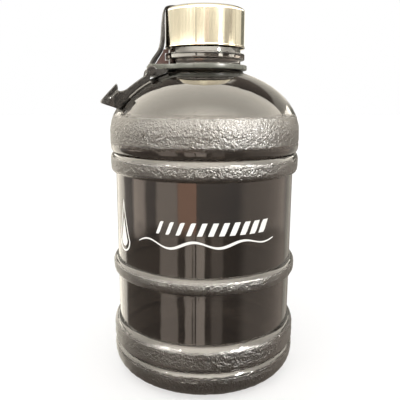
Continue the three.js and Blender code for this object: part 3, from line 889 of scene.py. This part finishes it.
def make_tether():
    """Strap from the tab, up beside the cap and over its edge, that ends in an eye round the stud."""
    foot, top = STRAP_LOW[2], (EYE_LOW[2] + EYE_HIGH[2]) / 2
    eye_r, eye_thick = EYE_HIGH[0], EYE_HIGH[2] - EYE_LOW[2]
    line, thicks = tether_line(foot, top, eye_r, eye_thick)
    tangent = np.gradient(line, axis=0)
    tangent[0], tangent[-1] = (0, 1), (1, 0)
    tangent /= np.linalg.norm(tangent, axis=1)[:, None]
    sections = []
    for (x, z), (tx, tz), thick in zip(line, tangent, thicks):
        half = np.interp(z, (229, 243), (STRAP_HIGH[1], 4.2))
        if x > -eye_r - 0.3:
            rim = math.sqrt(max(eye_r**2 - x * x, 0.04))
            half = max(rim, half) if x < 0 else rim
        corners = [(-half, -thick / 2), (half, -thick / 2), (half, thick / 2), (-half, thick / 2)]
        ring = filleted(corners, min(0.4 * thick, half), 4, closed=True)
        sections.append([(x - n * tz, y, z + n * tx) for y, n in ring])
    tether = loft("tether", sections, sharp_degrees=50)
    cut(tether, prism_z("hole", TETHER_HOLE_R * circle(48), top - 4, top + 4), "DIFFERENCE", 50)
    black = moulded_material(
        "strap_black", (0.006, 0.005, 0.005), (0.014, 0.012, 0.011), 0.2, 0.34, 0.7, 0.03,
        Specular_IOR_Level=0.15,
    )
    tether.data.materials.append(black)
    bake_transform(tether)
    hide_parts("tether_strap", "tether_eye")


# ---- Cap --------------------------------------------------------------------------

def make_cap_shell():
    """Thin steel cup: a rolled lower edge, a rounded upper one and a hole for the stud."""
    low, top = SHELL_LOW[2], SHELL_HIGH[2]
    inner_r, flat_r = CAP_R - CAP_WALL, CAP_R - CAP_EDGE_R
    roll = filleted([
        (inner_r, low + 0.5), (inner_r + 0.1, low), (SHELL_HIGH[0], low), (SHELL_HIGH[0], low + 1.3),
        (CAP_R, low + 1.3),
    ], 0.45, 5)
    outline = np.vstack([
        roll, [(CAP_R, low + 1.8), (CAP_R, top - CAP_EDGE_R - 0.5), (CAP_R, top - CAP_EDGE_R)],
        bezier([(CAP_R, top - CAP_EDGE_R), (CAP_R, top), (flat_r, top)], 8),
        [(14, top), (CAP_HOLE_R + 0.2, top), (CAP_HOLE_R, top - 0.1), (CAP_HOLE_R, top - CAP_WALL)],
        [(flat_r, top - CAP_WALL)],
        bezier([(flat_r, top - CAP_WALL), (inner_r, top - CAP_WALL), (inner_r, top - CAP_EDGE_R)], 8),
    ])
    shell = turned("cap_shell_steel", outline, 192, closed=True)
    steel = steel_material(
        "steel_cap", (0.55, 0.5, 0.4), (0.74, 0.7, 0.57), 0.05, 0.11, (1, 1, 0.02), 0.003,
    )
    shell.data.materials.append(steel)
    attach(shell, "cap")
    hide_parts("cap_shell")


def make_cap_core():
    """Plastic insert with the screw thread inside it."""
    outer, top, low = CORE_HIGH[0], CORE_HIGH[2], CORE_LOW[2]
    inner, plate = CORE_INNER_R, CORE_PLATE_Z
    outline = filleted([
        (CAP_HOLE_R, plate), (inner - 0.5, plate), (inner, plate - 0.5),
        *((inner, z) for z in CORE_THREAD_ROWS),
        (inner, low + 0.5), (inner + 0.3, low), (outer, low), (outer, top - 1.7),
        (outer - 1.7, top), (CAP_HOLE_R, top),
    ], 0.3, 2, closed=True)

    def relief(points, row):
        r, z = outline[row]
        on_thread = r < inner + 0.1 and z < plate - 2
        return thread_height(points, CORE_THREAD) if on_thread else np.zeros(len(points))

    core = turned("cap_core_insert", outline, 144, closed=True, relief=relief)
    insert = moulded_material("black_insert", (0.02, 0.02, 0.021), (0.04, 0.04, 0.042), 0.4, 0.6, 0.6, 0.03)
    core.data.materials.append(insert)
    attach(core, "cap")
    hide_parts("cap_core")


def make_cap_gasket():
    """Silicone ring under the insert's plate."""
    low, high, outer = GASKET_LOW[2], GASKET_HIGH[2], GASKET_HIGH[0]
    square = [(GASKET_INNER_R, high), (GASKET_INNER_R, low), (outer, low), (outer, high)]
    gasket = turned("seal_ring", filleted(square, 0.35, 4, closed=True), 144, closed=True)
    silicone = moulded_material(
        "silicone_seal", (0.6, 0.6, 0.57), (0.74, 0.73, 0.7), 0.35, 0.5, 0.5, 0.02, Subsurface_Weight=0.2,
    )
    gasket.data.materials.append(silicone)
    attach(gasket, "cap")
    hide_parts("cap_gasket")


def make_cap_stud():
    """Rivet through the strap's eye: a domed head, a shank and a wider tail."""
    head_low, head_top, head_r = EYE_HIGH[2] + 0.3, STUD_HIGH[2], STUD_HIGH[0]
    tail_low, tail_high = STUD_LOW[2], CORE_PLATE_Z - 0.3
    shank_r, tail_r = 2.6, 4.4
    outline = np.vstack([
        [(0, tail_low), (tail_r - 0.5, tail_low), (tail_r, tail_low + 0.5), (tail_r, tail_high)],
        [(shank_r, tail_high), (shank_r, head_low)],
        filleted([(shank_r, head_low), (head_r, head_low), (head_r, head_low + 0.5)], 0.15, 3)[1:],
        bezier([(head_r, head_low + 0.5), (head_r - 0.6, head_top - 0.5), (3, head_top), (0, head_top)], 14),
    ])
    stud = turned("cap_stud_head", outline, 96)
    satin = steel_material("steel_stud", (0.5, 0.48, 0.43), (0.66, 0.64, 0.58), 0.16, 0.3, (1, 1, 1), 0.004)
    stud.data.materials.append(satin)
    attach(stud, "cap")
    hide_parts("cap_stud")


# ---- Floor, light and camera ------------------------------------------------------

def make_floor():
    """Large pale floor. The dark, glossy plastic mirrors the studio rather than this floor."""
    half = 6.0 / MM
    corners = [(-half, -half, 0), (half, -half, 0), (half, half, 0), (-half, half, 0)]
    floor = new_object("floor", corners, [(0, 1, 2, 3)])
    material, tree, shader = new_material(
        "floor_paper", Roughness=0.9, Base_Color=(0.42, 0.42, 0.42, 1), Emission_Color=(1, 1, 1, 1),
        Emission_Strength=0.54, Specular_IOR_Level=0.1,
    )
    floor.data.materials.append(material)
    floor.location.z = -0.0001
    floor.visible_glossy = floor.visible_transmission = False


CREAM = (1.0, 0.94, 0.82)
WARM = (1.0, 0.86, 0.74)
ORANGE = (1.0, 0.59, 0.42)
SURROUND = (0.6, 0.55, 0.51)
DIFFUSE_LIGHT = (1.12, 1.11, 1.1)
WHITE = (1.0, 1.0, 1.0)
ALL_ROUND = (-180, 180)
LAMP_TARGET = Vector((0, 0, 120))

# Light panels of the studio: azimuths from the camera in degrees, sines of elevation, colour and
# strength, and how soft the sides are
PANELS = (
    (ALL_ROUND, (-1.0, -0.26), WARM, 0.3, 1),
    ((-160, -124), (-0.6, 0.03), CREAM, 2.1, 4),
    ((-102, -80), (-0.26, -0.04), WARM, 2.3, 4),
    ((-62, -33), (-0.26, -0.04), WARM, 2.0, 3),
    ((-33, -8), (-0.26, -0.04), ORANGE, 2.3, 2),
    ((48, 125), (-0.26, -0.04), WARM, 1.2, 8),
    ((-58, -34), (-0.6, -0.26), WARM, 1.6, 2),
    ((-24, -15), (-0.6, -0.26), WARM, 2.2, 1.5),
    ((-8, 1), (-0.6, -0.26), WARM, 2.6, 1.5),
    ((9, 24), (-0.6, -0.26), WARM, 0.9, 2),
    ((50, 130), (-0.6, -0.26), WARM, 0.8, 8),
    ((132, 152), (-0.6, 0.05), CREAM, 0.7, 3),
)

# Low panels that the neck and the cap mirror: sines of elevation, then azimuths and strength
NECK_LEVELS, CAP_LEVELS = (0.05, 0.105), (0.105, 0.2)
NECK_PANELS = (
    ((-135, -28), 9.0), ((-23, -3), 8.0), ((39, 51), 16.0), ((72, 92), 9.0),
)
CAP_PANELS = (
    ((-180, -166), CREAM, 1.5), ((-166, -137), CREAM, 0.55), ((-28, -25.5), CREAM, 0.75),
    ((-3, 11), (1.0, 0.85, 0.74), 1.1), ((57, 83), (1.0, 0.92, 0.8), 0.65), ((96, 99), CREAM, 0.8),
    ((126, 158), (1.0, 1.0, 0.85), 0.3), ((158, 180), CREAM, 1.5),
)


def layer(tree, total, mask, colour, strength):
    """total, replaced by a light of that colour where mask is 1."""
    return mixed(tree, mask, total, tuple(c * strength for c in colour))


def patch(tree, total, azimuth, z, panel, softness, soft_z=0.02):
    """total with a light panel: its azimuths, sines of elevation, colour and strength."""
    sides, levels, colour, strength = panel
    mask = times(tree, between(tree, azimuth, *sides, softness), between(tree, z, *levels, soft_z))
    return layer(tree, total, mask, colour, strength)


def ceiling(tree, total, x, y, z):
    """Cream diffuser overhead, dimmer towards its far end, with a darker ceiling behind it."""
    slanted = calc(tree, "ADD", y, times(tree, calc(tree, "MINIMUM", x, 0), 0.25))
    low_down = step_up(tree, z, 0.4, 0.28)
    behind = step_up(tree, calc(tree, "SUBTRACT", slanted, times(tree, low_down, 0.35)), 0.43, 0.46)
    overhead = times(tree, step_up(tree, z, 0.0, 0.13), calc(tree, "SUBTRACT", 1, behind))
    total = layer(tree, total, overhead, CREAM, 12.0)
    total = layer(tree, total, times(tree, overhead, step_up(tree, y, -1.0, -0.2)), CREAM, 4.8)
    total = layer(tree, total, times(tree, behind, between(tree, z, 0.2, 0.55, 0.03)), CREAM, 1.0)
    total = layer(tree, total, times(tree, behind, step_up(tree, z, 0.52, 0.58)), WARM, 0.28)
    wedge = times(tree, between(tree, x, -0.2, 0.22, 0.02), between(tree, y, 0.54, 0.69, 0.02))
    return layer(tree, total, times(tree, wedge, step_up(tree, z, 0.5, 0.6)), CREAM, 2.3)


def make_studio():
    """Soft studio as a world of light: a cream diffuser over and before the jug, a white backdrop
    low behind it, a dark ceiling behind, and strips of light round about."""
    world = bpy.data.worlds.new("studio")
    bpy.context.scene.world = world
    world.use_nodes = True
    world.cycles.sampling_method = "NONE"
    tree = world.node_tree
    tree.nodes.clear()
    direction = add(tree, "ShaderNodeTexCoord").outputs["Generated"]
    links = [("Vector", direction), ("Angle", VIEW_TURN)]
    x, y, z = split(tree, add(tree, "ShaderNodeVectorRotate", links, rotation_type="Z_AXIS").outputs[0])
    azimuth = times(tree, calc(tree, "ARCTAN2", x, times(tree, y, -1.0)), 180 / math.pi)
    light = add(tree, "ShaderNodeRGB").outputs[0]
    light.default_value = (*SURROUND, 1)
    for *panel, softness in PANELS:
        light = patch(tree, light, azimuth, z, panel, softness)
    light = ceiling(tree, light, x, y, z)
    backdrop = times(tree, step_up(tree, y, 0.86, 0.92), between(tree, z, -0.7, 0.2, 0.03))
    light = layer(tree, light, backdrop, CREAM, 0.8)
    light = layer(tree, light, times(tree, backdrop, step_up(tree, x, 0, 0.1)), CREAM, 0.3)

    # The edges of the low panels lie slightly higher towards the camera
    tilted = calc(tree, "ADD", z, times(tree, y, 0.004))
    low_panels = [((ALL_ROUND, NECK_LEVELS, WARM, 0.25), 1)]
    low_panels += [((sides, NECK_LEVELS, CREAM, strength), 1.2) for sides, strength in NECK_PANELS]
    low_panels += [((ALL_ROUND, CAP_LEVELS, CREAM, 1.16), 1)]
    low_panels += [((sides, CAP_LEVELS, colour, strength), 0.8) for sides, colour, strength in CAP_PANELS]
    for panel, softness in low_panels:
        light = patch(tree, light, azimuth, tilted, panel, softness, 0.003)
    paths = add(tree, "ShaderNodeLightPath").outputs
    soft_light = mixed(tree, paths["Is Diffuse Ray"], light, DIFFUSE_LIGHT)
    seen = mixed(tree, paths["Is Camera Ray"], soft_light, WHITE)
    background = add(tree, "ShaderNodeBackground", [("Color", seen)])
    add(tree, "ShaderNodeOutputWorld", [("Surface", background.outputs[0])])


def make_lamp(name, place, size, energy, glossy):
    """Round lamp at a place turned with the view. A glossy one is only there to be mirrored."""
    data = bpy.data.lights.new(name, "AREA")
    data.shape, data.size, data.energy = "DISK", size, energy
    data.color = (1.0, 0.97, 0.92)
    lamp = bpy.data.objects.new(name, data)
    bpy.context.scene.collection.objects.link(lamp)
    place = Matrix.Rotation(-VIEW_TURN, 3, "Z") @ Vector(place)
    lamp.location = place * MM
    lamp.rotation_euler = (LAMP_TARGET - place).to_track_quat("-Z", "Y").to_euler()
    lamp.visible_glossy = lamp.visible_transmission = glossy
    lamp.visible_diffuse = not glossy
    lamp.visible_camera = False


def make_camera():
    """Camera in front of the jug, level with its shoulder and looking a little down."""
    distance, sideways, height = 342.7, -2.9, 188.1
    pitch_down, roll = 0.1991, 0.004
    data = bpy.data.cameras.new("camera")
    data.sensor_width, data.lens = 36, 43.995
    data.clip_start = 0.01
    camera = bpy.data.objects.new("camera", data)
    bpy.context.scene.collection.objects.link(camera)
    turn = Matrix.Rotation(math.pi / 2 - pitch_down, 4, "X") @ Matrix.Rotation(roll, 4, "Z")
    place = Matrix.Translation(Vector((sideways, -distance, height)) * MM) @ turn
    camera.matrix_world = Matrix.Rotation(-VIEW_TURN, 4, "Z") @ place
    bpy.context.scene.camera = camera


make_bottle()
make_print()
make_collar()
make_handle()
make_tether()
make_cap_shell()
make_cap_core()
make_cap_gasket()
make_cap_stud()
make_floor()
make_studio()
make_lamp("key", (-500, -700, 1100), 0.9, 3, False)
make_lamp("spot_left", (-1000, -1000, 700), 0.06, 24, True)
make_lamp("spot_right", (1000, -1000, 640), 0.08, 90, True)
make_camera()
bpy.context.scene.view_settings.view_transform = "Standard"
